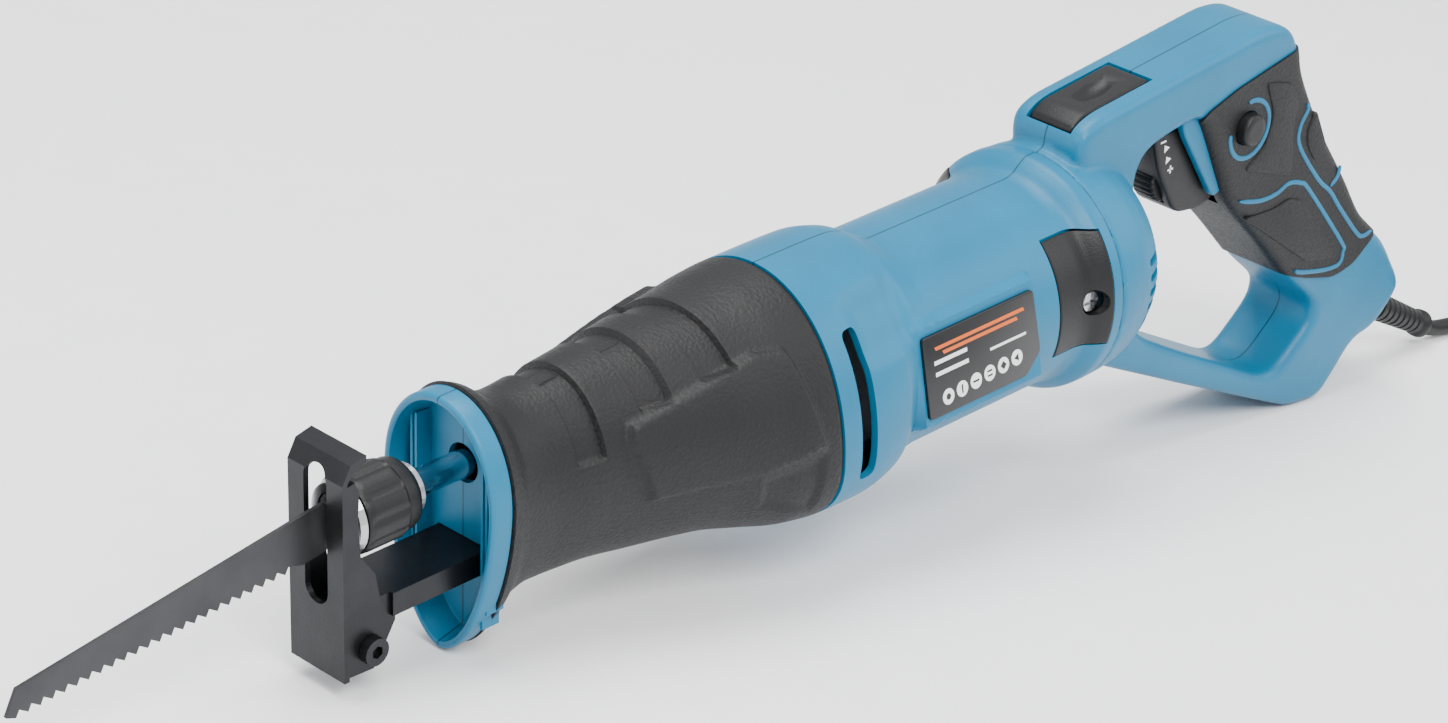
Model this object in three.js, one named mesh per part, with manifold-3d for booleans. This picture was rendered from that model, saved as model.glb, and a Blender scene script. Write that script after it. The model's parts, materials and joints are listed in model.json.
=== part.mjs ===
// Corded reciprocating saw with a turning D-handle.
// Lengths are in millimetres. The saw is drawn in its tool frame: X runs along the motor axis toward
// the blade, Z is up, X = 0 is the swivel plane and Z = 0 the motor axis. The whole tool is then
// tipped nose-down until its nose rim and its handle loop both stand on the floor, Z = 0.
import * as THREE from "three";
import { mergeVertices } from "three/addons/utils/BufferGeometryUtils.js";
import Module from "manifold-3d";

const wasm = await Module();
wasm.setup();

// ---------------------------------------------------------------- driving dimensions
const SLIVER = 0.01; // edges shorter than this are closed up before a body is written
const GAP = 0.3; // kept between neighbouring pieces
const SWIVEL_R = 43.5;
const MOTOR_R = 38;
const WALL = 3;
const BOOT_T = 3; // rubber thickness
const BOOT_X0 = 139;
const BOOT_X1 = 266.7;
const RIM_X = 275; // front edge of the nose rim
const NOSE_WALL_X = 265; // front face of the wall inside the nose
const PLUNGER_Z = 20.5;
const PLUNGER_R = 4.5;
const GEAR_X = 140; // axis of the face gear
const GEAR_R = 31;
const GEAR_TEETH = 32;
const PINION_TEETH = 8;
const CRANK_R = 10; // half of the 20 mm stroke
const COLLAR_X0 = 289.5;
const COLLAR_X1 = 315.5;
const SHOE_X = 323.5; // front face of the shoe plate
const SHOE_W = 12.4; // half width
const SHOE_FOOT_Z = -28.5;
const PIVOT = { x: 313.3, z: -20 };
const BAR_TOP_Z = -5.5;
const HANDLE_W = 16.5; // half width of the D-handle
const FOOT = { x: -150, z: -102.5 }; // where the loop stands
const BLADE_T = 1.3;
const CORD_R = 3.2;
const NOSE_FOOT = { x: RIM_X, z: -41.5 }; // lowest point of the nose rim
const TILT = Math.atan2(NOSE_FOOT.z - FOOT.z, NOSE_FOOT.x - FOOT.x);

// Outer skin of the front end: x, half width, height of the widest level, top, bottom, and the
// squareness of the lower half.
const SKIN = [
  [0.5, 43.5, 0, 43.5, -43.5, 2],
  [4.5, 43.2, 0, 43.2, -43.2, 2],
  [12, MOTOR_R + 0.6, 0, MOTOR_R + 0.6, -MOTOR_R - 0.6, 2],
  [16, MOTOR_R, 0, MOTOR_R, -MOTOR_R, 2],
  [84, MOTOR_R, 0, MOTOR_R, -MOTOR_R, 2],
  [92, 38.1, -1, 41.5, -39, 2],
  [98, 38.7, -2, 45.6, -40, 2],
  [107, 42.4, -6, 47, -41.5, 2.1],
  [120, 43.8, -9, 47.2, -41.5, 2.2],
  [BOOT_X0, 44, -10, 47.2, -40.5, 2.2],
  [152, 42.8, -8, 46.3, -39, 2.2],
  [165, 39.5, -4, 44.6, -36.5, 2.1],
  [180, 35.6, 1, 43.5, -33.5, 2],
  [205, 29.5, 4.5, 42, -30.5, 2],
  [230, 25, 6.5, 40.5, -27.5, 2],
  [248, 22.8, 8, 39.3, -27.3, 2],
  [257, 23.2, 10, 41.5, -31, 1.9],
  [263, 25.3, 13, 46.3, -39, 1.8],
  [BOOT_X1, 26.2, 14, 48, -42, 1.75],
];
const RIM = [25.3, 14.5, 47, NOSE_FOOT.z, 1.75];

// Outline of the D-handle and of its opening, as x, z.
const HANDLE_OUTLINE = [
  [-8, 20], [-4, 47], [-6, 53], [-14, 56.5], [-55, 60], [-104, 64.3], [-115, 63], [-122, 59],
  [-126, 52], [-128, 42], [-136, 27], [-147, 9.5], [-162, -11], [-175, -31], [-186, -41],
  [-194, -48], [-207, -68], [-206, -74], [-193, -85], [-180, -86], [-168, -98], [-161, -104.08],
  [-143, -101.5], [-138, -99.5], [-80, -70.5], [-28, -44], [-8, -30],
];
const HANDLE_OPENING = [
  [-37, 28], [-42, 36], [-58, 39], [-72, 40], [-76, 34], [-92, 1], [-101, -9], [-116, -24],
  [-136, -46], [-152, -60], [-151, -68], [-132, -82], [-123, -81], [-72, -53], [-50, -40],
  [-41, -30],
];
// The grip's rubber band on the handle, and the place and slope at which the cord leaves it.
const GRIP_BAND = [
  [-72, 41], [-117, 50], [-150, 50], [-205, -30], [-178, -44], [-166, -51], [-145, -48.5],
  [-131, -42], [-100, -24], [-84, 0],
];
const EXIT = { x: -199.5, z: -79.5, pitch: (30.5 * Math.PI) / 180 };
const RELIEF_LENGTH = 58;
const LOCK = { x: -97, z: 29 };
const DIAL = { x: -69, z: 13 };
const LABEL_LEAN = (12 * Math.PI) / 180; // the flat of the label leans up by this

// ---------------------------------------------------------------- solids
const UP_Y = new THREE.Vector3(0, 1, 0);
const pieces = [];

function solid(geometry) {
  const bare = new THREE.BufferGeometry();
  const source = geometry.index ? geometry.toNonIndexed() : geometry;
  bare.setAttribute("position", source.getAttribute("position"));
  const merged = mergeVertices(bare, 1e-4);
  return new wasm.Manifold(
    new wasm.Mesh({
      numProp: 3,
      vertProperties: merged.attributes.position.array,
      triVerts: new Uint32Array(merged.index.array),
    }),
  );
}

function join(...parts) {
  return parts.reduce((a, b) => a.add(b));
}

function cut(body, ...tools) {
  return tools.reduce((a, b) => a.subtract(b), body);
}

function box(x0, x1, y0, y1, z0, z1) {
  const g = new THREE.BoxGeometry(x1 - x0, y1 - y0, z1 - z0);
  return solid(g.translate((x0 + x1) / 2, (y0 + y1) / 2, (z0 + z1) / 2));
}

function rodX(x0, x1, r, y = 0, z = 0, sides = 32) {
  const g = new THREE.CylinderGeometry(r, r, x1 - x0, sides).rotateZ(-Math.PI / 2);
  return solid(g.translate((x0 + x1) / 2, y, z));
}

function rodY(y0, y1, r, x, z, sides = 24) {
  const g = new THREE.CylinderGeometry(r, r, y1 - y0, sides);
  return solid(g.translate(x, (y0 + y1) / 2, z));
}

function rodZ(z0, z1, r, x, y, sides = 32) {
  const g = new THREE.CylinderGeometry(r, r, z1 - z0, sides).rotateX(Math.PI / 2);
  return solid(g.translate(x, y, (z0 + z1) / 2));
}

// A ring or disc turned about an X axis, from a closed profile of [x, radius] pairs.
function turnedX(profile, z = 0, sides = 32) {
  const points = [...profile, profile[0]].map(([x, r]) => new THREE.Vector2(r, x));
  const g = new THREE.LatheGeometry(points, sides).rotateZ(-Math.PI / 2);
  return solid(upright(g).translate(0, 0, z));
}

// Turns a lathe's faces outward when its profile runs the other way round.
function upright(g) {
  const merged = mergeVertices(g.deleteAttribute("normal").deleteAttribute("uv"), 1e-4);
  const p = merged.attributes.position;
  const t = merged.index.array;
  const v = [0, 1, 2].map(() => new THREE.Vector3());
  let volume = 0;
  for (let i = 0; i < t.length; i += 3) {
    v.forEach((q, k) => q.fromBufferAttribute(p, t[i + k]));
    volume += v[0].dot(v[1].clone().cross(v[2]));
  }
  if (volume < 0) for (let i = 0; i < t.length; i += 3) [t[i], t[i + 1]] = [t[i + 1], t[i]];
  return merged;
}

function shapeOf(points) {
  return new THREE.Shape(points.map(([u, v]) => new THREE.Vector2(u, v)));
}

// A plate with the outline [x, z], from y0 to y1.
function plateXZ(points, y0, y1, bevel = 0) {
  const g = new THREE.ExtrudeGeometry(shapeOf(points), {
    depth: y1 - y0 - 2 * bevel,
    bevelEnabled: bevel > 0,
    bevelThickness: bevel,
    bevelSize: bevel,
    bevelOffset: -bevel,
    bevelSegments: 2,
  });
  return solid(upright(g.translate(0, 0, bevel).rotateX(Math.PI / 2).translate(0, y1, 0)));
}

// The same outline moved outward by d, or inward where d is negative.
function offset(points, d) {
  const sign = THREE.ShapeUtils.area(points.map(([x, y]) => ({ x, y }))) > 0 ? 1 : -1;
  const n = points.length;
  return points.map((p, i) => {
    const normals = [points[(i + n - 1) % n], p].map((from, k) => {
      const to = k ? points[(i + 1) % n] : p;
      const length = Math.hypot(to[0] - from[0], to[1] - from[1]);
      return [((to[1] - from[1]) * sign) / length, ((from[0] - to[0]) * sign) / length];
    });
    const [nx, ny] = [normals[0][0] + normals[1][0], normals[0][1] + normals[1][1]];
    const miter = (2 * d) / (nx * nx + ny * ny);
    return [p[0] + nx * miter, p[1] + ny * miter];
  });
}

// A round rod or cone between two points.
function rodAlong(from, to, r0, r1 = r0, sides = 20) {
  const [a, b] = [new THREE.Vector3(...from), new THREE.Vector3(...to)];
  const way = b.clone().sub(a);
  const g = new THREE.CylinderGeometry(r1, r0, way.length(), sides);
  g.applyQuaternion(new THREE.Quaternion().setFromUnitVectors(UP_Y, way.clone().normalize()));
  return solid(g.translate(...a.add(b).multiplyScalar(0.5).toArray()));
}

// A closed solid through rings of [x, y, z] points, one ring after another along X.
function loft(rings) {
  const n = rings[0].length;
  const middle = (ring) => ring.reduce((a, p) => a.map((c, i) => c + p[i] / n), [0, 0, 0]);
  const at = [...rings.flat(), middle(rings[0]), middle(rings.at(-1))];
  const faces = [];
  for (let j = 0; j + 1 < rings.length; j++)
    for (let i = 0; i < n; i++) {
      const [a, b] = [j * n + i, j * n + ((i + 1) % n)];
      faces.push(a, b, a + n, b, b + n, a + n);
    }
  const last = (rings.length - 1) * n;
  for (let i = 0; i < n; i++) {
    const k = (i + 1) % n;
    faces.push(rings.length * n, k, i, rings.length * n + 1, last + i, last + k);
  }
  const g = new THREE.BufferGeometry();
  g.setAttribute("position", new THREE.Float32BufferAttribute(at.flat(), 3));
  g.setIndex(faces);
  return solid(upright(g));
}

// ---------------------------------------------------------------- the front end's skin
function skinAt(x) {
  const i = Math.max(1, SKIN.findIndex((row) => row[0] >= x));
  const [a, b] = [SKIN[i - 1], SKIN[i]];
  const t = (x - a[0]) / (b[0] - a[0]);
  return a.slice(1).map((v, k) => v + (b[k + 1] - v) * t);
}

function ring(x, [w, level, top, bottom, square], inset) {
  const points = [];
  for (let i = 0; i < 32; i++) {
    const t = (i / 32) * 2 * Math.PI;
    const [c, s] = [Math.cos(t), Math.sin(t)];
    const n = 2 / (s < 0 ? square : 2.05);
    const h = s < 0 ? level - bottom : top - level;
    const y = Math.sign(c) * (w - inset) * Math.abs(c) ** n;
    points.push([x, y, level + Math.sign(s) * (h - inset) * Math.abs(s) ** n]);
  }
  return points;
}

function skin(x0, x1, inset) {
  const inner = SKIN.map((row) => row[0]).filter((x) => x > x0 + 0.01 && x < x1 - 0.01);
  return loft([x0, ...inner, x1].map((x) => ring(x, skinAt(Math.min(x, BOOT_X1)), inset)));
}

// side = 1 is the operator's left, side = -1 the right.
function half(body, side) {
  const [y0, y1] = side > 0 ? [GAP / 2, 80] : [-80, -GAP / 2];
  return body.intersect(box(-260, 460, y0, y1, -140, 90));
}

function frontShell() {
  const rear = skin(0.5, BOOT_X0 - GAP, 0);
  const under = skin(BOOT_X0 - 1.6, BOOT_X1, BOOT_T + GAP);
  const rimRings = [[BOOT_X1 - 0.5, 3.8], [BOOT_X1 + 0.1, 3.8], [BOOT_X1 + 0.1, 0], [RIM_X, 0]];
  const rim = loft(rimRings.map(([x, inset]) => ring(x, RIM, inset)));
  const body = join(rear, under, rim, labelPad());
  const room = skin(WALL + 0.5, BOOT_X0 - 2, WALL);
  const throat = skin(BOOT_X0 - 3, 259, BOOT_T + GAP + WALL);
  const nose = loft(
    [NOSE_WALL_X, BOOT_X1 + 1, RIM_X + 1].map((x) => ring(x, RIM, x < BOOT_X1 ? 5.8 : 2.8)),
  );
  return cut(body, room, throat, nose, rodX(-1, 5, 31.6), noseHoles(), ventSlots(), coverWindows());
}

function noseHoles() {
  const plunger = rodX(250, 280, 6.6, 0, PLUNGER_Z, 24);
  return join(plunger, box(240, 280, -11.8, 11.8, BAR_TOP_Z - 8.6, BAR_TOP_Z + GAP));
}

function ventSlots() {
  return join(box(124, 130, 30, 60, -19, 30), box(124, 130, -60, -30, -19, 30));
}

function coverWindows() {
  return join(box(4.5, 27, 25, 60, -13, 28), box(4.5, 27, -60, -25, -13, 28));
}

function boot() {
  return cut(skin(BOOT_X0 + GAP / 2, BOOT_X1 - GAP / 2, 0), skin(BOOT_X0 - 1, BOOT_X1, BOOT_T));
}

function brushCover() {
  const skinPiece = cut(skin(4.8, 26.7, 0), skin(1, 30, 2.6))
    .intersect(box(4.8, 26.7, 25, 60, -12.7, 27.7));
  return cut(skinPiece, rodY(20, 60, 4.6, 11, 4));
}

// ---------------------------------------------------------------- motor
function stator() {
  return turnedX([[39, 21.5], [39, 34.4], [82, 34.4], [82, 21.5]], 0, 36);
}

function laminations() {
  let stack = rodX(40, 81, 20, 0, 0, 36);
  for (let i = 0; i < 12; i++) {
    const slot = new THREE.BoxGeometry(50, 2, 5).translate(60, 0, 19.5).rotateX((i * Math.PI) / 6);
    stack = stack.subtract(solid(slot));
  }
  return cut(stack, rodX(30, 90, 5 + GAP));
}

// End turns at both ends of the core, joined by a bar through each slot.
function winding() {
  let coil = turnedX([[31, 8], [31, 14], [39.7, 19.6], [39.7, 8]], 0, 24);
  coil = coil.add(turnedX([[81.3, 8], [81.3, 19.6], [87.5, 14], [87.5, 8]], 0, 24));
  for (let i = 0; i < 12; i++) {
    const bar = new THREE.BoxGeometry(43, 1.3, 2).translate(60.5, 0, 18.4).rotateX((i * Math.PI) / 6);
    coil = coil.add(solid(bar));
  }
  return coil;
}

function commutator() {
  let body = rodX(14, 29, 12, 0, 0, 36);
  for (let i = 0; i < 12; i++) {
    const groove = new THREE.BoxGeometry(20, 0.8, 1.6).translate(20, 0, 12).rotateX((i * Math.PI) / 6);
    body = body.subtract(solid(groove));
  }
  return cut(body, rodX(10, 34, 5 + GAP));
}

function fan() {
  let wheel = cut(rodX(89, 91, 31, 0, 0, 40), rodX(85, 99, 5 + GAP));
  wheel = wheel.add(cut(rodX(89, 96, 9), rodX(85, 99, 5 + GAP)));
  for (let i = 0; i < 14; i++) {
    const blade = new THREE.BoxGeometry(5, 1.4, 13).rotateX(0.35).translate(93, 0, 23.5);
    wheel = wheel.add(solid(blade.rotateX((i * 2 * Math.PI) / 14)));
  }
  return wheel;
}

function pinion() {
  let gear = rodX(107, 119, 5.6, 0, 0, 24);
  for (let i = 0; i < PINION_TEETH; i++) {
    const tooth = new THREE.BoxGeometry(12, 1.6, 3).translate(113, 0, 6);
    gear = gear.add(solid(tooth.rotateX((i * 2 * Math.PI) / PINION_TEETH)));
  }
  return cut(gear, rodX(100, 125, 4 + GAP, 0, 0, 24));
}

function armatureShaft() {
  return join(rodX(3.5, 105.5, 5, 0, 0, 24), rodX(104, 118, 4, 0, 0, 24));
}

function bearingX(x0, x1, bore, outer, z = 0) {
  return turnedX([[x0, bore + GAP], [x0, outer], [x1, outer], [x1, bore + GAP]], z, 28);
}

// A disc with six cooling holes that holds the rear motor bearing.
function rearCarrier() {
  let disc = cut(rodX(7.8, 11.2, 34.4), rodX(4, 20, 9.5 + GAP, 0, 0, 28));
  for (let i = 0; i < 6; i++) {
    const a = ((i + 0.5) * Math.PI) / 3;
    disc = disc.subtract(rodX(4, 20, 6, 23 * Math.cos(a), 23 * Math.sin(a), 16));
  }
  return disc;
}

function brushHolder() {
  return cut(box(16, 28, 13, 33, -5.5, 5.5), box(18, 26, 10, 31, -3.5, 3.5));
}

function brush() {
  return box(18.3, 25.7, 12.4, 30, -3.2, 3.2);
}

// ---------------------------------------------------------------- drive
function faceGear() {
  const disc = rodZ(8.6, 13.4, GEAR_R, GEAR_X, 0, 48);
  let gear = disc;
  for (let i = 0; i < GEAR_TEETH; i++) {
    const ridge = new THREE.BoxGeometry(7, 1.9, 2.4).translate(GEAR_R - 3.6, 0, 7.8);
    const turn = ((i + 0.5) * 2 * Math.PI) / GEAR_TEETH;
    gear = gear.add(solid(ridge.rotateZ(turn).translate(GEAR_X, 0, 0)));
  }
  return cut(gear, rodZ(0, 11.4, 8 + GAP, GEAR_X, 0, 28), rodZ(11, 16, 2.5 + GAP, GEAR_X + CRANK_R, 0, 20));
}

function crankPin() {
  const shank = rodZ(11.8, 14.2, 2.5, GEAR_X + CRANK_R, 0, 20);
  return join(shank, rodZ(13.7, 15.9, 5, GEAR_X + CRANK_R, 0, 24));
}

function gearCase() {
  const floor = plateOfFloor();
  const rear = box(99, 104, -24, 24, -24, 30);
  const front = cut(box(174, 179, -13, 13, -24, 32), box(170, 185, -8.3, 8.3, 31, 40));
  const boss = rodZ(-21, -4, 8, GEAR_X, 0, 28);
  const body = join(floor, rear, front, boss);
  return cut(
    body,
    rodX(90, 110, 11 + GAP, 0, 0, 28),
    rodX(170, 185, 7.5 + GAP, 0, PLUNGER_Z, 28),
    rodZ(-30, 0, 3 + GAP, GEAR_X, 0, 20),
  );
}

function plateOfFloor() {
  const half = [[99, 24], [152, 24], [179, 13], [179, -13], [152, -24], [99, -24]];
  const g = new THREE.ExtrudeGeometry(shapeOf(half), { depth: 4, bevelEnabled: false });
  return solid(upright(g.translate(0, 0, -24)));
}

function caseLid() {
  return box(99.3, 178.7, -9, 9, 32.4, 34.2);
}

function plunger() {
  const rod = rodX(166, 297.5, PLUNGER_R, 0, PLUNGER_Z, 28);
  return cut(rod, box(GEAR_X - 9.3 + CRANK_R, GEAR_X + 9.3 + CRANK_R, -8, 8, 10, 19));
}

// The yoke: a cross bar with the slot that the crank roller drives, clamped round the plunger.
function yoke() {
  const x = GEAR_X + CRANK_R;
  const bore = rodX(100, 200, PLUNGER_R + GAP, 0, PLUNGER_Z, 28);
  const block = cut(box(x - 9, x + 9, -17, 17, 16.2, 27.5), bore);
  return cut(block, box(x - 5.4, x + 5.4, -15.6, 15.6, 10, 18.7));
}

function bushing(x0, x1) {
  return bearingX(x0, x1, PLUNGER_R, 7.5, PLUNGER_Z);
}

function frontBushBlock() {
  const block = box(238, 252, -8.6, 8.6, PLUNGER_Z - 10, PLUNGER_Z + 8.6);
  return cut(block, rodX(230, 260, 7.5 + GAP, 0, PLUNGER_Z, 28));
}

// ---------------------------------------------------------------- blade clamp, blade and shoe
function clampCore() {
  const body = rodX(287.2, 315.2, 8.4, 0, PLUNGER_Z, 28);
  const slot = box(299.5, 330, -BLADE_T / 2 - GAP, BLADE_T / 2 + GAP, PLUNGER_Z - 6.6, PLUNGER_Z + 6.6);
  return cut(body, rodX(280, 297.8, PLUNGER_R + GAP, 0, PLUNGER_Z, 28), slot);
}

function clampCollar() {
  const x0 = COLLAR_X0;
  const profile = [
    [x0, 8.7], [x0, 9.6], [x0 + 1.8, 11.6], [x0 + 7, 12.1], [x0 + 7, 13], [COLLAR_X1 - 2.5, 13],
  ];
  let body = turnedX([...profile, [COLLAR_X1 - 2.5, 8.7]], PLUNGER_Z, 40);
  for (let i = 0; i < 10; i++) {
    const groove = new THREE.BoxGeometry(30, 1.6, 1.6)
      .translate(x0 + 22, 0, 13.2)
      .rotateX((i * Math.PI) / 5);
    body = body.subtract(solid(groove.translate(0, 0, PLUNGER_Z)));
  }
  return body;
}

function collarRing() {
  const [a, b] = [COLLAR_X1 - 2.2, COLLAR_X1];
  return turnedX([[a, 8.7], [a, 12.2], [b, 11.4], [b, 8.7]], PLUNGER_Z, 32);
}

// Blade outline: a straight tang, a back that falls toward the tip, and wood teeth.
function blade() {
  const points = [[301, 14.4], [301, 26.6], [319, 26.6], [321.5, 28], [434, 11.5], [438, 3.4]];
  const [first, last, teeth] = [332, 435, 24];
  for (let i = 0; i < teeth; i++) {
    const x = last - ((last - first) * i) / teeth;
    const z = 2 + ((435 - x) * 7.6) / 103;
    points.push([x - 0.4, z + 0.1], [x - 1.6, z + 2.4]);
  }
  points.push([first - 3, 10.2], [320, 11.5], [318, 14.4]);
  return cut(plateXZ(points, -BLADE_T / 2, BLADE_T / 2), rodY(-5, 5, 2, 306, PLUNGER_Z, 16));
}

// The shoe: a U-channel with a slotted front plate, a bent-back lip and two pivot flanges.
function shoe() {
  const flange = [
    [SHOE_X, 38], [SHOE_X, -27], [312, -27.6], [306.8, -21], [308.8, -6], [311, 5], [316.6, 13],
    [317.6, 26], [317, 34], [318.6, 39],
  ];
  const side = cut(plateXZ(flange, SHOE_W - 2, SHOE_W), rodY(0, 40, 3 + GAP, PIVOT.x, PIVOT.z));
  const other = cut(plateXZ(flange, -SHOE_W, -SHOE_W + 2), rodY(-40, 0, 3 + GAP, PIVOT.x, PIVOT.z));
  const plate = box(SHOE_X - 2, SHOE_X, -SHOE_W, SHOE_W, SHOE_FOOT_Z, 39.4);
  const lipOutline = [
    [SHOE_X, 39.3], [SHOE_X - 2, 39.3], [319, 43], [314, 44.6], [314, 46.6], [320.2, 45.2],
  ];
  const lip = plateXZ(lipOutline, -SHOE_W, SHOE_W);
  return cut(join(side, other, plate, lip), slotThroughShoe());
}

function slotThroughShoe() {
  const [w, z0, z1] = [5.2, -5.3, 42];
  const rounded = new THREE.Shape();
  rounded.absarc(0, z1 - w, w, 0, Math.PI);
  rounded.absarc(0, z0 + w, w, Math.PI, 2 * Math.PI);
  const g = new THREE.ExtrudeGeometry(rounded, { depth: 20, bevelEnabled: false, curveSegments: 8 });
  const turn = new THREE.Matrix4().set(0, 0, 1, SHOE_X - 10, 1, 0, 0, 0, 0, 1, 0, 0, 0, 0, 0, 1);
  return solid(g.applyMatrix4(turn));
}

function guideBar() {
  const bar = box(214, 303, -11.2, 11.2, BAR_TOP_Z - 8, BAR_TOP_Z);
  const lug = [
    [302, BAR_TOP_Z], [307, BAR_TOP_Z], [317.5, -14], [319.5, -20], [316, -26], [307, -26],
    [301, -16], [301, BAR_TOP_Z - 7],
  ];
  const whole = join(bar, plateXZ(lug, -9.8, 9.8));
  return cut(whole, rodY(-40, 40, 3 + GAP, PIVOT.x, PIVOT.z), rodZ(-30, 0, 2.5 + GAP, 225, 0, 20));
}

function pivotBolt() {
  const socket = rodY(SHOE_W + 1.4, 30, 2.2, PIVOT.x, PIVOT.z, 6);
  const head = cut(rodY(SHOE_W + GAP, SHOE_W + 3.4, 4.6, PIVOT.x, PIVOT.z), socket);
  const tail = rodY(-SHOE_W - 3, -SHOE_W - GAP, 4.6, PIVOT.x, PIVOT.z);
  return join(rodY(-SHOE_W - 1, SHOE_W + 1, 3, PIVOT.x, PIVOT.z), head, tail);
}

function barScrew() {
  return join(rodZ(-17.5, -13.8, 4.2, 225, 0, 24), rodZ(-14.5, -6.5, 2.5, 225, 0, 20));
}

// ---------------------------------------------------------------- handle
function handleBody(inset) {
  const outline = offset(HANDLE_OUTLINE, -inset);
  const frame = plateXZ(outline, -HANDLE_W + inset, HANDLE_W - inset, 5);
  const opening = plateXZ(offset(HANDLE_OPENING, inset), -40, 40);
  const rear = -36 + inset;
  const dome = turnedX([
    [-0.2, 0.01], [-0.2, SWIVEL_R - inset], [-14, SWIVEL_R - 0.8 - inset], [-26, 38.5 - inset],
    [rear, 28 - inset], [rear, 0.01],
  ]);
  return join(cut(frame, opening), dome);
}

function handleShell() {
  const room = handleBody(WALL).intersect(box(-260, -3.4, -60, 60, -120, 80));
  const shell = cut(handleBody(0), room, gripZone(), rodX(-10, 2, 31.6));
  const front = box(-0.2, 40, -60, 60, -60, 80);
  return cut(shell, front, triggerWindow(), buttonWindow(), lockHole(7), coolingSlots(), relief(-10, 7));
}

// The space that the rubber grip fills, on the outside of the handle.
function gripZone() {
  const skinOnly = cut(handleBody(-1), handleBody(2.2 + GAP));
  return plateXZ(offset(GRIP_BAND, GAP), -60, 60).intersect(skinOnly);
}

function grip() {
  const band = plateXZ(GRIP_BAND, -60, 60).intersect(handleBody(0));
  return cut(band, handleBody(2.2), triggerWindow(), lockHole(7));
}

function triggerWindow() {
  return box(-104, -68, -9.4, 9.4, -3, 46);
}

function buttonWindow() {
  return join(box(-49, -6.3, -10, 10, 40.4, 70), box(-14, -9, -3.6, 3.6, 20, 50));
}

function lockHole(r) {
  return rodY(9, 30, r, LOCK.x, LOCK.z, 24);
}

function coolingSlots() {
  const slots = [];
  for (let i = 0; i < 7; i++) {
    const z = 11 - i * 5.6;
    slots.push(box(-60, -24, 18, 40, z - 2.8, z), box(-60, -24, -40, -18, z - 2.8, z));
  }
  return join(...slots);
}

function alongExit(s) {
  const { x, z, pitch } = EXIT;
  return [x - s * Math.cos(pitch), 0, z - s * Math.sin(pitch)];
}

function relief(s0, r) {
  return rodAlong(alongExit(s0), alongExit(RELIEF_LENGTH), r, r);
}

function strainRelief() {
  const sleeve = rodAlong(alongExit(-8), alongExit(RELIEF_LENGTH), 6.4, 4.6);
  const bead = rodAlong(alongExit(RELIEF_LENGTH - 5), alongExit(RELIEF_LENGTH), 5.6, 5.6);
  const flange = rodAlong(alongExit(-9.5), alongExit(-6.5), 6.6, 6.6);
  return join(sleeve, bead, flange);
}

function trigger() {
  const outline = [[-54, 36], [-59, 20], [-70, 0.5], [-85, -2], [-96, 2], [-97, 34]];
  const body = plateXZ(outline, -9, 9, 1);
  return cut(body, rodY(-5.4, 5.4, 9, DIAL.x, DIAL.z, 28), rodX(-99, -88, 3.6, 0, 22, 20));
}

function speedDial() {
  let wheel = rodY(-5, 5, 8.6, DIAL.x, DIAL.z, 36);
  for (let i = 0; i < 12; i++) {
    const groove = new THREE.BoxGeometry(1.4, 12, 1.4).translate(8.7, 0, 0).rotateY((i * Math.PI) / 6);
    wheel = wheel.subtract(solid(groove.translate(DIAL.x, 0, DIAL.z)));
  }
  return wheel;
}

function lockButton() {
  const domed = rodAlong([LOCK.x, 19.9, LOCK.z], [LOCK.x, 21.8, LOCK.z], 6, 4.4, 24);
  return join(rodY(12.6, 20, 6, LOCK.x, LOCK.z), domed);
}

// Oval cap with a dished top, a stem and the pawl that holds the swivel ring.
function releaseButton() {
  const outline = [[-6.7, 45], [-6.7, 53.4], [-13, 56.7], [-47.6, 60], [-48.6, 58], [-48.6, 45]];
  const cap = plateXZ(outline, -9.6, 9.6, 1.6);
  const dish = plateXZ([[-13, 55.6], [-42.5, 58.2], [-42.5, 70], [-13, 70]], -6, 6);
  const stem = box(-13, -9.8, -3, 3, 24, 47);
  return join(cut(cap, dish), stem, box(-12, -5.7, -3, 3, 24, 26.4));
}

// A closed helix of wire between two ends on an X axis.
function springX(x0, x1, r, wire, turns, z) {
  const points = [];
  for (let i = 0; i <= turns * 10; i++) {
    const a = (i / 10) * 2 * Math.PI;
    const x = x0 + ((x1 - x0) * i) / (turns * 10);
    points.push(new THREE.Vector3(x, r * Math.cos(a), z + r * Math.sin(a)));
  }
  return wireAlong(points, wire, 6);
}

// A wire or cord of round section along points.
function wireAlong(points, r, sides, steps = points.length - 1) {
  const section = new THREE.Shape();
  for (let i = 0; i < sides; i++) {
    const a = (i / sides) * 2 * Math.PI;
    section[i ? "lineTo" : "moveTo"](r * Math.cos(a), r * Math.sin(a));
  }
  const extrudePath = new THREE.CatmullRomCurve3(points);
  return solid(upright(new THREE.ExtrudeGeometry(section, { steps, extrudePath, bevelEnabled: false })));
}

// ---------------------------------------------------------------- small fixed pieces
function labelPlate(side) {
  const outline = [[96.5, 10.5], [41.5, 10.5], [40.5, -11.5], [48.5, -18], [96.5, -18]];
  const g = new THREE.ExtrudeGeometry(shapeOf(outline), { depth: 0.6, bevelEnabled: false });
  g.rotateX(Math.PI / 2).translate(0, MOTOR_R + 1.5, 0).rotateX(LABEL_LEAN);
  const plate = solid(upright(g));
  return side > 0 ? plate : plate.mirror([0, 1, 0]);
}

function labelPad() {
  const block = new THREE.BoxGeometry(58, 8, 43).translate(68, MOTOR_R - 3.4, -1.5).rotateX(LABEL_LEAN);
  const pad = solid(block);
  return join(pad, pad.mirror([0, 1, 0]));
}

function screwAlongY(x, z, y0, y1, r) {
  const slot = box(x - r, x + r, y1 - 1, y1 + 1, z - 0.5, z + 0.5);
  return cut(join(rodY(y0, y1, r * 0.6, x, z, 16), rodY(y1 - 2.4, y1, r, x, z, 20)), slot);
}

// ---------------------------------------------------------------- cord, on the floor
const LIFT = FOOT.x * Math.sin(TILT) - FOOT.z * Math.cos(TILT);
const COIL = { x: -456, y: 38, rows: 4, layers: 2 };
const COIL_MID_R = 11 * CORD_R;

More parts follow.
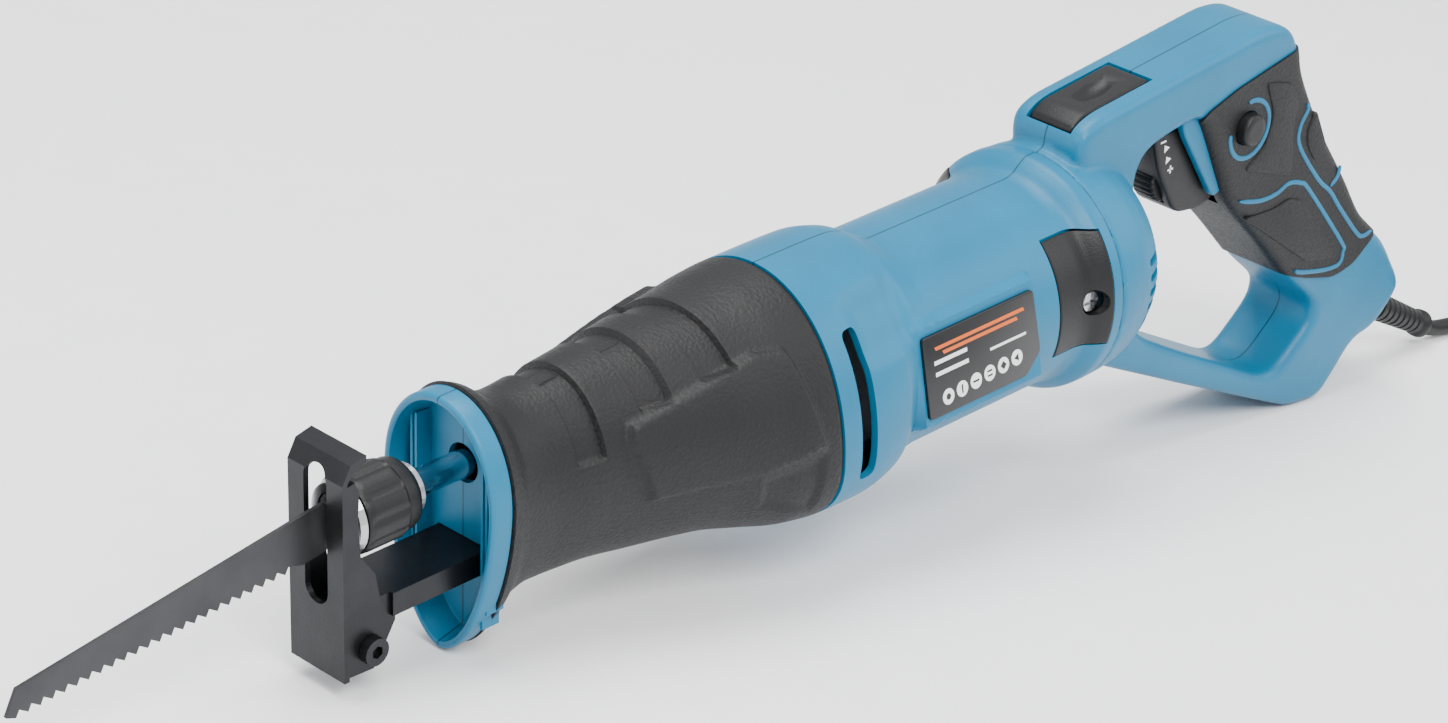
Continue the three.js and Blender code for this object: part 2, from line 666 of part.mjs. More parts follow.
function onFloorFrame([x, y, z], shift) {
  const [c, s] = [Math.cos(TILT), Math.sin(TILT)];
  return [x * c + z * s + shift, y, z * c - x * s + LIFT];
}

function cordLead(shift) {
  const start = onFloorFrame(alongExit(RELIEF_LENGTH + GAP), shift);
  const after = onFloorFrame(alongExit(RELIEF_LENGTH + 8), shift);
  const side = COIL.y - COIL_MID_R - (COIL.rows / 2 + 0.5) * 2 * CORD_R - GAP;
  const lie = CORD_R + 0.05;
  const way = [start, after, [start[0] - 19, 0.2, lie + 0.3], [start[0] - 32, 0.5, lie]];
  way.push([start[0] - 50, side * 0.5, lie], [COIL.x + 16, side * 0.97, lie], [COIL.x, side, lie]);
  return wireAlong(way.map((p) => new THREE.Vector3(...p)), CORD_R, 10, 24);
}

function cordCoil() {
  const [r0, r1] = [COIL_MID_R - COIL.rows * CORD_R, COIL_MID_R + COIL.rows * CORD_R];
  const top = COIL.layers * 2 * CORD_R;
  const profile = [
    [r0 + 2, 0.02], [r1 - 2, 0.02], [r1, 2], [r1, top - 2],
    [r1 - 2, top], [r0 + 2, top], [r0, top - 2], [r0, 2],
  ];
  const points = [...profile, profile[0]].map(([r, z]) => new THREE.Vector2(r, z));
  const g = new THREE.LatheGeometry(points, 40).rotateX(Math.PI / 2);
  return solid(upright(g)).translate([COIL.x, COIL.y, 0]);
}

// A flat two-pin plug that lies beside the coil.
const PLUG = { x: COIL.x + 12, y: COIL.y + COIL_MID_R + COIL.rows * CORD_R + 5.6, z: 10.4 };

function plugBody() {
  const { x, y, z } = PLUG;
  const outline = [
    [x, y - 5], [x + 12, y - 7], [x + 20, y - 17], [x + 46, y - 17],
    [x + 46, y + 17], [x + 20, y + 17], [x + 12, y + 7], [x, y + 5],
  ];
  const shifted = outline.map(([u, v]) => [u, v + (u > x + 13 ? 12 : 0)]);
  const g = new THREE.ExtrudeGeometry(shapeOf(shifted), {
    depth: 14, bevelEnabled: true, bevelThickness: 3, bevelSize: 3, bevelOffset: -3, bevelSegments: 2,
  });
  return solid(upright(g.translate(0, 0, z - 7)));
}

function plugPin(dy) {
  const { x, y, z } = PLUG;
  return rodX(x + 46 + GAP, x + 65, 2.4, y + 12 + dy, z, 16);
}

// ---------------------------------------------------------------- materials
function material(color, roughness, metalness = 0) {
  return new THREE.MeshStandardMaterial({ color, roughness, metalness });
}

const BLUE = material(0x2f9fd2, 0.42);
const BLACK = material(0x1c1c1e, 0.5);
const RUBBER = material(0x2e2e31, 0.8);
const CHROME = material(0xd8dade, 0.12, 1);
const STEEL = material(0x9a9ca0, 0.35, 1);
const BLACK_STEEL = material(0x2a2a2d, 0.4, 0.8);
const CAST = material(0xa8abb0, 0.5, 0.9);
const BRONZE = material(0xa9793c, 0.4, 0.9);
const COPPER = material(0xb5622d, 0.35, 1);
const GRAPHITE = material(0x303030, 0.6, 0.2);

// ---------------------------------------------------------------- assembly
function piece(name, body, look) {
  pieces.push([name, body, look]);
}

function pair(name, body, look) {
  piece(name + "_left", half(body, 1), look);
  piece(name + "_right", half(body, -1), look);
}

function mirrored(name, make, look) {
  piece(name + "_left", make(1), look);
  piece(name + "_right", make(-1), look);
}

function mirrorY(body, side) {
  return side > 0 ? body : body.mirror([0, 1, 0]);
}

function buildFrontEnd() {
  pair("front_shell", frontShell(), BLUE);
  pair("rubber_boot", boot(), RUBBER);
  mirrored("label_plate", labelPlate, BLACK);
  mirrored("brush_cover", (side) => half(join(brushCover(), brushCover().mirror([0, 1, 0])), side), BLACK);
  mirrored("cover_screw", (side) => mirrorY(screwAlongY(11, 4, 34.8, 38, 4), side), STEEL);
  const ringProfile = [[-9, 27], [-9, 38], [-4.5, 38], [-4.5, 31.2], [3.8, 31.2], [3.8, 38], [7, 38], [7, 27]];
  piece("swivel_ring", turnedX(ringProfile), STEEL);
  piece("rear_bearing_carrier", rearCarrier(), BLACK);
  piece("rear_motor_bearing", bearingX(8, 12.5, 5, 9.5), STEEL);
  piece("front_motor_bearing", bearingX(99, 104, 5, 11), STEEL);
  piece("stator", stator(), STEEL);
  mirrored("brush_holder", (side) => mirrorY(brushHolder(), side), BRONZE);
  mirrored("carbon_brush", (side) => mirrorY(brush(), side), GRAPHITE);
  piece("gear_case", gearCase(), CAST);
  piece("gear_case_lid", caseLid(), CAST);
  piece("gear_spindle", rodZ(-24, 8, 3, GEAR_X, 0, 20), STEEL);
  piece("gear_bearing", cut(rodZ(-3.5, 11, 8, GEAR_X, 0, 28), rodZ(-9, 20, 3 + GAP, GEAR_X, 0, 20)), STEEL);
  piece("rear_plunger_bush", bushing(174, 179), BRONZE);
  piece("front_plunger_bush", bushing(237, 253), BRONZE);
  piece("bush_block", frontBushBlock(), CAST);
  piece("guide_bar", guideBar(), BLACK_STEEL);
  piece("guide_bar_screw", barScrew(), STEEL);
  piece("shoe_pivot_bolt", pivotBolt(), BLACK_STEEL);
}

function buildMovingPieces() {
  piece("armature_shaft", armatureShaft(), STEEL);
  piece("armature_core", laminations(), STEEL);
  piece("armature_winding", winding(), COPPER);
  piece("commutator", commutator(), COPPER);
  piece("cooling_fan", fan(), BLACK);
  piece("pinion", pinion(), STEEL);
  piece("face_gear", faceGear(), STEEL);
  piece("crank_pin", crankPin(), STEEL);
  piece("plunger", plunger(), CHROME);
  piece("plunger_yoke", yoke(), STEEL);
  piece("clamp_core", clampCore(), STEEL);
  piece("clamp_collar", clampCollar(), BLACK);
  piece("collar_ring", collarRing(), STEEL);
  piece("saw_blade", blade(), BLACK_STEEL);
  piece("shoe", shoe(), BLACK_STEEL);
}

function buildHandle() {
  pair("handle_shell", handleShell(), BLUE);
  pair("grip_pad", grip(), RUBBER);
  piece("release_button", releaseButton(), BLACK);
  piece("trigger", trigger(), BLACK);
  piece("speed_dial", speedDial(), BLACK);
  piece("lock_button", lockButton(), BLACK);
  piece("switch_body", box(-127, -106, -8.5, 8.5, 2, 36), BLACK);
  piece("trigger_spring", springX(-105.2, -88.8, 2.6, 0.5, 5, 22), STEEL);
}

function inPlace(group, shift) {
  group.rotation.y = TILT;
  group.position.set(shift, 0, LIFT);
  return group;
}

function meshOf([name, body, look]) {
  const { vertProperties, triVerts, numProp } = body.simplify(SLIVER).getMesh();
  const g = new THREE.BufferGeometry();
  const at = new Float32Array((vertProperties.length / numProp) * 3);
  for (let i = 0; i < at.length / 3; i++)
    for (let k = 0; k < 3; k++) at[i * 3 + k] = vertProperties[i * numProp + k];
  g.setAttribute("position", new THREE.BufferAttribute(at, 3));
  g.setIndex(new THREE.BufferAttribute(new Uint32Array(triVerts), 1));
  const mesh = new THREE.Mesh(g, look);
  mesh.name = name;
  return mesh;
}

buildFrontEnd();
buildMovingPieces();
buildHandle();
const tool = inPlace(new THREE.Group().add(...pieces.map(meshOf)), 0);
tool.updateMatrixWorld(true);
const reach = new THREE.Box3().setFromObject(tool, true);
const SHIFT = -(reach.min.x + reach.max.x) / 2;
tool.position.x = SHIFT;
const reliefMesh = meshOf(["strain_relief", strainRelief(), RUBBER]);
tool.add(reliefMesh);

const cordParts = [
  ["cord_lead", cordLead(SHIFT), RUBBER],
  ["cord_coil", cordCoil(), RUBBER],
  ["plug_body", plugBody(), BLACK],
  ["plug_pin_a", plugPin(-9.5), CHROME],
  ["plug_pin_b", plugPin(9.5), CHROME],
];
export default new THREE.Group().add(tool, ...cordParts.map(meshOf));
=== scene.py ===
import json
import math

import bmesh
import bpy
from mathutils import Matrix, Vector


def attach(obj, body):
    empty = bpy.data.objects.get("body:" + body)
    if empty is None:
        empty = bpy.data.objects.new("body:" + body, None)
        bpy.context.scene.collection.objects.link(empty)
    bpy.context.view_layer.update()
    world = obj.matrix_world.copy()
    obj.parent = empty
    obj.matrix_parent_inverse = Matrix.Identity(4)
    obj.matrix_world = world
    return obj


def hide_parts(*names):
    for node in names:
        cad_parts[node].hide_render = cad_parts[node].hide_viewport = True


# Looks of a corded reciprocating saw. Shapes are drawn in the saw's tool frame, in millimetres:
# X along the motor axis toward the blade, Y to the operator's left, Z up, X = 0 at the swivel plane.
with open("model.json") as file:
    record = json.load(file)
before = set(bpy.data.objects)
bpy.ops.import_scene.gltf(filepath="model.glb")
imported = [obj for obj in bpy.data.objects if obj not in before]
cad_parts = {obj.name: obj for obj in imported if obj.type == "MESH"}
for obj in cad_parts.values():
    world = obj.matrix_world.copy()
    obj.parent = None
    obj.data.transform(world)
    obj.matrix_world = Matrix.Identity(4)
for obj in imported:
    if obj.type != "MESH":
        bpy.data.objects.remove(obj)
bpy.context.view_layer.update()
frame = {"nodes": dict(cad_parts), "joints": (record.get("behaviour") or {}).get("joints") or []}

MM = 0.001
swivel = next(j for j in frame["joints"] if j["name"] == "handle_swivel")
ORIGIN = Vector(swivel["pos_m"])
AXIS = Vector(swivel["axis"]).normalized()
SIDE = Vector((0, 1, 0))
UP = AXIS.cross(SIDE)
TURN = Matrix((AXIS, SIDE, UP)).transposed()
TOOL = Matrix.Translation(ORIGIN) @ TURN.to_4x4() @ Matrix.Scale(MM, 4)

# ---------------------------------------------------------------- driving dimensions
BOOT_X0, BOOT_X1 = 139, 266.7
NOSE_WALL_X = 264.5
HANDLE_W = 16.5
PLUNGER_Z = 20.5
COLLAR_X0 = 289.5
BAR_TOP_Z = -5.5
LOCK = (-97, 29)
DIAL = (-69, 13)
CORD_R = 3.2
LEAN = math.radians(12)
LABEL_OUT = 39.4
# Skin of the front end: x, half width, height of the widest level, top, bottom, lower squareness.
SKIN = [
    (0.5, 43.5, 0, 43.5, -43.5, 2), (4.5, 43.4, 0, 43.4, -43.4, 2), (8, 41.6, 0, 41.6, -41.6, 2),
    (12, 38.8, 0, 38.8, -38.8, 2), (16, 38, 0, 38, -38, 2), (84, 38, 0, 38, -38, 2),
    (92, 38.1, -1, 41.5, -39, 2), (98, 38.7, -2, 45.2, -40, 2), (107, 42.4, -6, 47, -41.5, 2.1),
    (120, 43.8, -9, 47.2, -41.5, 2.2), (139, 44, -10, 47.2, -40.5, 2.2),
    (152, 42.8, -8, 46.3, -39, 2.2), (165, 39.5, -4, 44.6, -36.5, 2.1), (180, 35.6, 1, 43.5, -33.5, 2),
    (205, 29.5, 4.5, 42, -30.5, 2), (230, 25, 6.5, 40.5, -27.5, 2), (248, 22.8, 8, 39.3, -27.3, 2),
    (257, 23.2, 10, 41.5, -31, 1.9), (263, 25.3, 13, 46.3, -39, 1.8), (266.7, 26.2, 14, 48, -42, 1.75),
]
RIM = (25.3, 14.5, 47, -41.5, 1.75)
HANDLE_OUTLINE = [
    (-8, 20), (-4, 47), (-6, 53), (-14, 56.5), (-55, 60), (-104, 64.3), (-115, 63), (-122, 59),
    (-126, 52), (-128, 42), (-136, 27), (-147, 9.5), (-162, -11), (-175, -31), (-186, -41),
    (-194, -48), (-207, -68), (-206, -74), (-193, -85), (-180, -86), (-168, -98), (-161, -104.1),
    (-143, -101.5), (-138, -99.5), (-80, -70.5), (-28, -44), (-8, -30),
]
HANDLE_OPENING = [
    (-37, 28), (-42, 36), (-58, 39), (-72, 40), (-76, 34), (-92, 1), (-101, -9), (-116, -24),
    (-136, -46), (-152, -60), (-151, -68), (-132, -82), (-123, -81), (-72, -53), (-50, -40), (-41, -30),
]
GRIP_BAND = [
    (-72, 41), (-90, 46), (-117, 50.5), (-150, 56), (-205, -30), (-184, -42), (-172, -50), (-160, -51.5),
    (-145, -47), (-131, -42), (-100, -24), (-84, 0),
]

# ---------------------------------------------------------------- camera
CAMERA_AT = (1022.1, 832.9, 647.9)
CAMERA_AZIMUTH, CAMERA_RISE, CAMERA_ROLL = math.radians(46.29), math.radians(27.69), math.radians(1.98)


def build_camera():
    a, e, roll = CAMERA_AZIMUTH, CAMERA_RISE, CAMERA_ROLL
    back = Vector((math.sin(a) * math.cos(e), math.cos(a) * math.cos(e), math.sin(e)))
    level = Vector((-math.cos(a), math.sin(a), 0))
    rise = back.cross(level)
    right = math.cos(roll) * level + math.sin(roll) * rise
    up = math.cos(roll) * rise - math.sin(roll) * level
    data = bpy.data.cameras.new("camera")
    data.lens = 104.70
    data.sensor_width = 36
    data.clip_end = 20
    camera = bpy.data.objects.new("camera", data)
    bpy.context.scene.collection.objects.link(camera)
    turn = TURN @ Matrix((right, up, back)).transposed()
    camera.matrix_world = Matrix.Translation(TOOL @ Vector(CAMERA_AT)) @ turn.to_4x4()
    bpy.context.scene.camera = camera


# ---------------------------------------------------------------- mesh helpers
def link(mesh, name):
    obj = bpy.data.objects.new(name, mesh)
    bpy.context.scene.collection.objects.link(obj)
    return obj


def from_points(name, points, faces, frame_matrix=TOOL):
    mesh = bpy.data.meshes.new(name)
    mesh.from_pydata([frame_matrix @ Vector(p) for p in points], [], faces)
    made = bmesh.new()
    made.from_mesh(mesh)
    bmesh.ops.remove_doubles(made, verts=made.verts, dist=1e-7)
    bmesh.ops.recalc_face_normals(made, faces=made.faces)
    made.to_mesh(mesh)
    made.free()
    return link(mesh, name)


def bake(obj):
    """Applies every modifier of obj to its mesh."""
    bpy.context.view_layer.update()
    ready = obj.evaluated_get(bpy.context.evaluated_depsgraph_get())
    mesh = bpy.data.meshes.new_from_object(ready)
    obj.modifiers.clear()
    old = obj.data
    obj.data = mesh
    bpy.data.meshes.remove(old)
    return obj


def soften(obj, angle=38):
    for face in obj.data.polygons:
        face.use_smooth = True
    obj.data.set_sharp_from_angle(angle=math.radians(angle))
    return obj


def bevelled(obj, width, segments=3, angle=30):
    m = obj.modifiers.new("bevel", "BEVEL")
    m.width = width * MM
    m.segments = segments
    m.limit_method = "ANGLE"
    m.angle_limit = math.radians(angle)
    return bake(obj)


def thickened(obj, depth):
    m = obj.modifiers.new("wall", "SOLIDIFY")
    m.thickness = depth * MM
    m.offset = -1
    m.use_even_offset = False
    return bake(obj)


def boolean(obj, other, operation="DIFFERENCE"):
    m = obj.modifiers.new("cut", "BOOLEAN")
    m.operation = operation
    m.solver = "EXACT"
    m.object = other
    bake(obj)
    bpy.data.objects.remove(other)
    return obj


def merged(name, objs):
    made = bmesh.new()
    for o in objs:
        made.from_mesh(o.data)
        bpy.data.objects.remove(o)
    mesh = bpy.data.meshes.new(name)
    made.to_mesh(mesh)
    made.free()
    return link(mesh, name)


def voxelled(obj, size, rounds):
    m = obj.modifiers.new("voxels", "REMESH")
    m.mode = "VOXEL"
    m.voxel_size = size * MM
    bake(obj)
    s = obj.modifiers.new("smooth", "SMOOTH")
    s.factor = 0.5
    s.iterations = rounds
    return bake(obj)


def dress(obj, look, body, replaces=(), angle=38):
    soften(obj, angle)
    obj.data.materials.clear()
    obj.data.materials.append(look)
    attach(obj, body)
    if replaces:
        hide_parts(*replaces)
    return obj


def grid_faces(rows, columns, closed):
    faces = []
    for i in range(rows - 1):
        for j in range(columns if closed else columns - 1):
            k = (j + 1) % columns
            faces.append((i * columns + j, i * columns + k, (i + 1) * columns + k, (i + 1) * columns + j))
    return faces


def tube_of_rings(name, rings):
    """Closed rings of equal length, joined one after another, with flat caps at both ends."""
    n = len(rings[0])
    faces = grid_faces(len(rings), n, True)
    faces += [tuple(range(n)), tuple(range(n * len(rings) - 1, n * (len(rings) - 1) - 1, -1))]
    return from_points(name, [p for ring in rings for p in ring], faces)


def lathe(name, profile, start, direction, sides=64, bumps=None):
    """profile is (distance along direction, radius) pairs; bumps(t, angle) adds to the radius."""
    d = Vector(direction).normalized()
    u = d.orthogonal().normalized()
    v = d.cross(u)
    rings = []
    for s, r in profile:
        ring = []
        for i in range(sides):
            a = 2 * math.pi * i / sides
            reach = r + (bumps(s, a) if bumps else 0)
            ring.append(Vector(start) + d * s + (u * math.cos(a) + v * math.sin(a)) * reach)
        rings.append(ring)
    return tube_of_rings(name, rings)


def prism(name, outline, y0, y1):
    """The outline (x, z) pushed from y0 to y1."""
    n = len(outline)
    points = [(x, y, z) for y in (y0, y1) for x, z in outline]
    faces = [tuple(range(n)), tuple(range(2 * n - 1, n - 1, -1))]
    faces += [(i, (i + 1) % n, n + (i + 1) % n, n + i) for i in range(n)]
    return from_points(name, points, faces)


def block(name, x0, x1, y0, y1, z0, z1):
    return prism(name, [(x0, z0), (x1, z0), (x1, z1), (x0, z1)], y0, y1)


def rounded_outline(points, radius, steps=5):
    """The outline with each corner replaced by a curve that starts radius away from it."""
    made = []
    n = len(points)
    for i, p in enumerate(points):
        p, a, b = Vector(p), Vector(points[i - 1]), Vector(points[(i + 1) % n])
        ra = min(radius, 0.45 * (a - p).length)
        rb = min(radius, 0.45 * (b - p).length)
        start, end = p + (a - p).normalized() * ra, p + (b - p).normalized() * rb
        for k in range(steps + 1):
            t = k / steps
            made.append(tuple((1 - t) ** 2 * start + 2 * t * (1 - t) * p + t * t * end))
    return made


def smoothstep(a, b, x):
    t = min(max((x - a) / (b - a), 0), 1)
    return t * t * (3 - 2 * t)


# ---------------------------------------------------------------- the front end's skin
def skin_at(x):
    """SKIN's row at x, on a smooth curve through its stations."""
    i = next((k for k in range(1, len(SKIN)) if SKIN[k][0] >= x), len(SKIN) - 1)
    a, b = SKIN[i - 1], SKIN[i]
    before, after = SKIN[max(i - 2, 0)], SKIN[min(i + 1, len(SKIN) - 1)]
    h = b[0] - a[0]
    t = (x - a[0]) / h
    row = []
    for k in range(1, 6):
        step = (b[k] - a[k]) / h
        left = (a[k] - before[k]) / (a[0] - before[0]) if a[0] > before[0] else step
        right = (after[k] - b[k]) / (after[0] - b[0]) if after[0] > b[0] else step
        m0 = 0 if left * step <= 0 else 2 * left * step / (left + step)
        m1 = 0 if right * step <= 0 else 2 * right * step / (right + step)
        cubic = (2 * t**3 - 3 * t**2 + 1) * a[k] + (t**3 - 2 * t**2 + t) * h * m0
        row.append(cubic + (3 * t**2 - 2 * t**3) * b[k] + (t**3 - t**2) * h * m1)
    return row


def ring_point(x, row, angle, inset=0):
    w, level, top, bottom, square = row
    c, s = math.cos(angle), math.sin(angle)
    power = 2 / (square if s < 0 else 2.05)
    h = (level - bottom if s < 0 else top - level) - inset
    y = math.copysign(abs(c) ** power, c) * (w - inset)
    return Vector((x, y, level + math.copysign(abs(s) ** power, s) * h))


def side_y(x, z, inset=0):
    """Half width of the skin at height z."""
    w, level, top, bottom, square = skin_at(x)
    h = (level - bottom if z < level else top - level) - inset
    n = square if z < level else 2.05
    return (w - inset) * max(1 - abs((z - level) / h) ** n, 0) ** (1 / n)


def angles(count):
    """Angles round the skin, closer together beside the two parting lines."""
    base = [2 * math.pi * i / count for i in range(count)]
    fine = [
        math.copysign(math.pi / 2, s) + k * 0.009
        for s in (1, -1)
        for k in (-4, -2.5, -1.3, 1.3, 2.5, 4)
    ]
    return sorted(base + [a % (2 * math.pi) for a in fine])


def stations(x0, x1, step):
    n = math.ceil((x1 - x0) / step)
    return [x0 + (x1 - x0) * i / n for i in range(n + 1)]


def skin_surface(name, x0, x1, step, count, relief):
    """An open sleeve of the skin from x0 to x1; relief(point, outward, x) moves its points."""
    turns = angles(count)
    points = []
    for x in stations(x0, x1, step):
        row = skin_at(x)
        ring = [ring_point(x, row, a) for a in turns]
        n = len(ring)
        for j, p in enumerate(ring):
            way = ring[(j + 1) % n] - ring[j - 1]
            outward = Vector((0, way.z, -way.y)).normalized()
            points.append(relief(p, outward, x))
    return from_points(name, points, grid_faces(len(stations(x0, x1, step)), len(turns), True))


# ---------------------------------------------------------------- materials
def look(name, base, shade, rough, grain, depth, metallic=0.0, *, pattern="noise", coat=0.0, seam=False,
         brushed=None):
    """A procedural surface: base varies to shade in soft clouds, and grain (per metre) gives the relief."""
    made = bpy.data.materials.new(name)
    made.use_nodes = True
    nodes, links = made.node_tree.nodes, made.node_tree.links
    shader = nodes["Principled BSDF"]
    shader.inputs["Metallic"].default_value = metallic
    shader.inputs["Coat Weight"].default_value = coat
    shader.inputs["Coat Roughness"].default_value = 0.25
    shader.inputs["Specular IOR Level"].default_value = 0.5 if metallic else 0.3
    place = nodes.new("ShaderNodeTexCoord")
    stretch = nodes.new("ShaderNodeMapping")
    stretch.inputs["Scale"].default_value = brushed or (1, 1, 1)
    links.new(place.outputs["Object"], stretch.inputs["Vector"])
    clouds = nodes.new("ShaderNodeTexNoise")
    clouds.inputs["Scale"].default_value = 38
    clouds.inputs["Detail"].default_value = 6
    links.new(place.outputs["Object"], clouds.inputs["Vector"])
    ramp = nodes.new("ShaderNodeValToRGB")
    ramp.color_ramp.elements[0].position = 0.3
    ramp.color_ramp.elements[1].position = 0.72
    ramp.color_ramp.elements[0].color = (*shade, 1)
    ramp.color_ramp.elements[1].color = (*base, 1)
    links.new(clouds.outputs["Fac"], ramp.inputs["Fac"])
    fine = nodes.new("ShaderNodeTexVoronoi" if pattern == "leather" else "ShaderNodeTexNoise")
    fine.inputs["Scale"].default_value = grain
    if pattern == "leather":
        fine.feature = "SMOOTH_F1"
    else:
        fine.inputs["Detail"].default_value = 4
    links.new(stretch.outputs["Vector"], fine.inputs["Vector"])
    height = fine.outputs["Distance" if pattern == "leather" else "Fac"]
    gloss = nodes.new("ShaderNodeMapRange")
    gloss.inputs["To Min"].default_value = rough - 0.07
    gloss.inputs["To Max"].default_value = rough + 0.09
    links.new(height, gloss.inputs["Value"])
    links.new(gloss.outputs["Result"], shader.inputs["Roughness"])
    bump = nodes.new("ShaderNodeBump")
    bump.inputs["Strength"].default_value = 1
    bump.inputs["Distance"].default_value = depth
    links.new(height, bump.inputs["Height"])
    links.new(bump.outputs["Normal"], shader.inputs["Normal"])
    colour = ramp.outputs["Color"]
    if seam:
        parts = nodes.new("ShaderNodeSeparateXYZ")
        links.new(place.outputs["Object"], parts.inputs["Vector"])
        away = nodes.new("ShaderNodeMath")
        away.operation = "ABSOLUTE"
        links.new(parts.outputs["Y"], away.inputs[0])
        near = nodes.new("ShaderNodeMapRange")
        near.inputs["From Min"].default_value = 0.0002
        near.inputs["From Max"].default_value = 0.00034
        near.inputs["To Min"].default_value = 0.28
        near.inputs["To Max"].default_value = 1
        links.new(away.outputs[0], near.inputs["Value"])
        dim = nodes.new("ShaderNodeMix")
        dim.data_type = "RGBA"
        dim.blend_type = "MULTIPLY"
        dim.inputs["Factor"].default_value = 1
        links.new(colour, dim.inputs["A"])
        links.new(near.outputs["Result"], dim.inputs["B"])
        colour = dim.outputs["Result"]
    links.new(colour, shader.inputs["Base Color"])
    return made


BLUE = look("blue_moulded", (0.0, 0.135, 0.255), (0.0, 0.117, 0.226), 0.38, 1500, 0.00009, seam=True)
BLUE_INLAY = look("blue_inlay", (0.0, 0.13, 0.25), (0.0, 0.11, 0.22), 0.45, 1700, 0.00007)
BLACK = look("black_moulded", (0.0055, 0.0056, 0.0062), (0.0035, 0.0036, 0.0041), 0.42, 1600, 0.0001)
RUBBER = look("grained_rubber", (0.0062, 0.0063, 0.0068), (0.004, 0.0041, 0.0046), 0.54, 900, 0.00018,
              pattern="leather")
SMOOTH_RUBBER = look("cord_rubber", (0.006, 0.006, 0.0065), (0.004, 0.004, 0.0044), 0.5, 1200, 0.00005)
CHROME = look("ground_chrome", (0.8, 0.81, 0.83), (0.66, 0.67, 0.7), 0.14, 900, 0.000008, 1,
              brushed=(4, 0.3, 0.3))
STEEL = look("turned_steel", (0.5, 0.51, 0.53), (0.4, 0.41, 0.43), 0.32, 700, 0.00003, 1,
             brushed=(5, 0.5, 0.5))
DARK_STEEL = look("oxide_steel", (0.03, 0.031, 0.034), (0.018, 0.019, 0.021), 0.34, 900, 0.00004, 0.85)
BLADE_STEEL = look("blade_paint", (0.055, 0.055, 0.059), (0.034, 0.034, 0.037), 0.38, 1100, 0.00003,
                   0.8, brushed=(0.4, 4, 4))
CAST = look("cast_alloy", (0.5, 0.51, 0.54), (0.4, 0.41, 0.44), 0.48, 500, 0.00012, 0.9)
BRONZE = look("sintered_bronze", (0.55, 0.36, 0.15), (0.42, 0.27, 0.11), 0.42, 1500, 0.00006, 0.9)
COPPER = look("wound_copper", (0.62, 0.27, 0.11), (0.45, 0.18, 0.07), 0.34, 1400, 0.00008, 1,
              brushed=(0.3, 4, 4))
GRAPHITE = look("pressed_carbon", (0.06, 0.06, 0.062), (0.04, 0.04, 0.042), 0.55, 1300, 0.00006, 0.1)
LABEL = look("label_print", (0.004, 0.004, 0.0046), (0.003, 0.003, 0.0036), 0.34, 900, 0.000015, coat=0.3)
WHITE_INK = look("white_ink", (0.8, 0.8, 0.8), (0.72, 0.72, 0.72), 0.4, 1200, 0.00001)
ORANGE_INK = look("orange_ink", (0.62, 0.11, 0.008), (0.54, 0.09, 0.006), 0.42, 1200, 0.00001)

NODE_LOOKS = {
    DARK_STEEL: ["guide_bar", "shoe_pivot_bolt", "shoe"],
    BLADE_STEEL: ["saw_blade"],
    STEEL: ["swivel_ring", "rear_motor_bearing", "front_motor_bearing", "stator", "gear_spindle",
            "gear_bearing",
            "guide_bar_screw", "armature_shaft", "armature_core", "pinion", "face_gear", "crank_pin",
            "plunger_yoke", "clamp_core", "trigger_spring", "collar_ring", "plug_pin_a", "plug_pin_b"],
    CAST: ["gear_case", "gear_case_lid", "bush_block"],
    BRONZE: ["brush_holder_left", "brush_holder_right", "rear_plunger_bush", "front_plunger_bush"],
    COPPER: ["armature_winding", "commutator"],
    GRAPHITE: ["carbon_brush_left", "carbon_brush_right"],
    BLACK: ["rear_bearing_carrier", "cooling_fan", "switch_body"],
    CHROME: ["plunger"],
}


def dress_nodes():
    for surface, names in NODE_LOOKS.items():
        for name in names:
            node = frame["nodes"][name]
            if not node.material_slots:
                node.data.materials.append(None)
            for s in node.material_slots:
                s.link = "OBJECT"
                s.material = surface
    for name, width in (("shoe", 0.35), ("guide_bar", 0.6), ("shoe_pivot_bolt", 0.3), ("saw_blade", 0.12)):
        m = frame["nodes"][name].modifiers.new("edge", "BEVEL")
        m.width = width * MM
        m.segments = 2
        m.limit_method = "ANGLE"
        m.angle_limit = math.radians(35)


# ---------------------------------------------------------------- cord, coil and plug
EXIT = Vector((-199.5, 0, -79.5))
EXIT_WAY = Vector((-math.cos(math.radians(30.5)), 0, -math.sin(math.radians(30.5))))
RELIEF_LENGTH = 58
COIL_X, COIL_Y = -456, 38
COIL_RADII = [44.8, 38.4, 32.0, 25.6]
LEAD_RADIUS = 51.2  # where the lead comes in beside the coil
LIE_Z = 3.25  # height of a cord's axis on the floor
PLUG_Z = 10.4
PLUG_Y = COIL_Y + 53.6
TURN_POINTS = 20


def cord_route():
    start = TOOL @ (EXIT + EXIT_WAY * (RELIEF_LENGTH - 1.5)) / MM
    after = TOOL @ (EXIT + EXIT_WAY * (RELIEF_LENGTH + 8)) / MM
    way = [start, after]
    end = TOOL @ (EXIT + EXIT_WAY * RELIEF_LENGTH) / MM
    bends = [(-19, 0.2, LIE_Z + 0.3), (-32, 0.5, LIE_Z), (-50, -6.6, LIE_Z)]
    way += [Vector((end.x + dx, y, z)) for dx, y, z in bends]
    way += [Vector((COIL_X + 16, COIL_Y - 50.9, LIE_Z)), Vector((COIL_X, COIL_Y - LEAD_RADIUS, LIE_Z))]
    return way


def smooth_way(points, per):
    """Points along a smooth curve through the given ones, per of them to each stretch."""
    made = []
    n = len(points)
    for i in range(n - 1):
        a, b = points[i], points[i + 1]
        before, after = points[max(i - 1, 0)], points[min(i + 2, n - 1)]
        for k in range(per):
            t = k / per
            m0, m1 = (b - before) / 2, (after - a) / 2
            made.append((2 * t**3 - 3 * t**2 + 1) * a + (t**3 - 2 * t**2 + t) * m0
                        + (3 * t**2 - 2 * t**3) * b + (t**3 - t**2) * m1)
    return made + [points[-1]]


